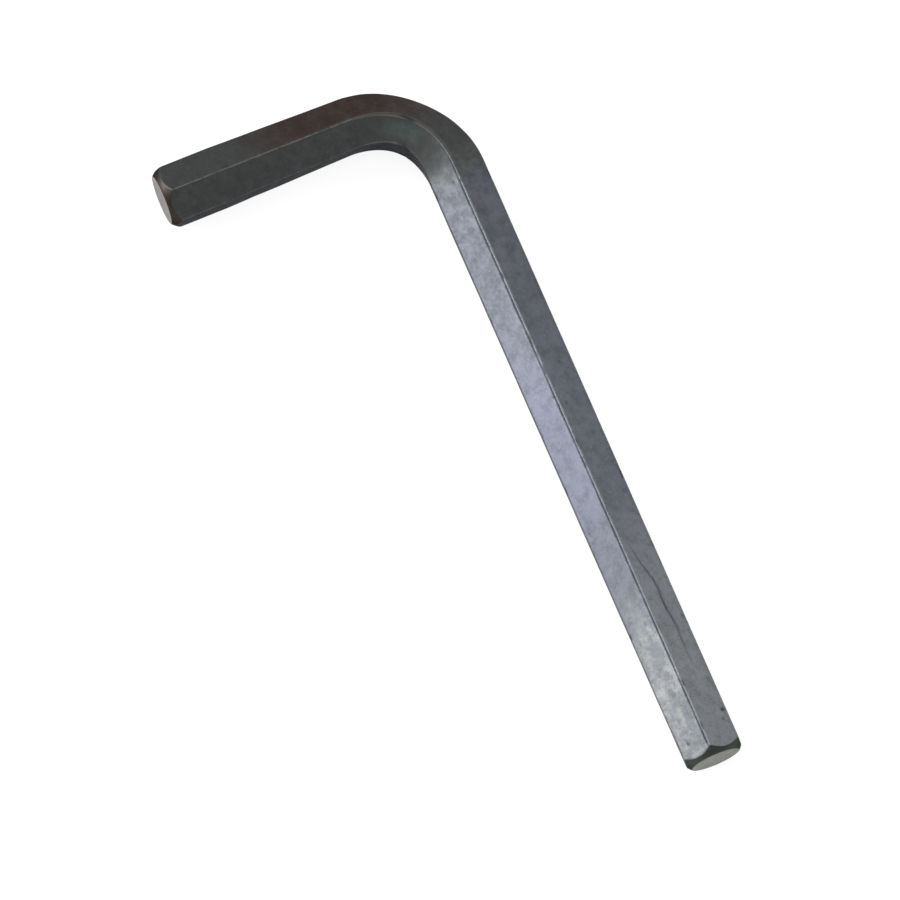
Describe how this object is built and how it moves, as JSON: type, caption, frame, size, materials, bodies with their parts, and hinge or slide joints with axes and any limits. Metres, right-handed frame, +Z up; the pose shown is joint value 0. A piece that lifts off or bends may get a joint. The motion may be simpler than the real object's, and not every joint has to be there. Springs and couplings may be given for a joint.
{
  "type": "hex key",
  "caption": "L-shaped hexagonal steel bar with one right-angle bend and chamfered tips, for turning hexagon-socket screws.",
  "frame": {"origin": "centre of the bottom face of the bounding box, with the key lying flat", "axes": "+X along the long arm towards its free tip, the short arm points towards -Y, +Z up and across the bend's plane"},
  "size_m": [0.0786, 0.0322, 0.0069],
  "materials": {
    "black_oxide_steel": "black oxide on drawn and heat-treated alloy steel, satin, dark on the short arm and rubbed grey on the long arm"
  },
  "bodies": {
    "root": {"hex_key": "black_oxide_steel"}
  },
  "joints": []
}
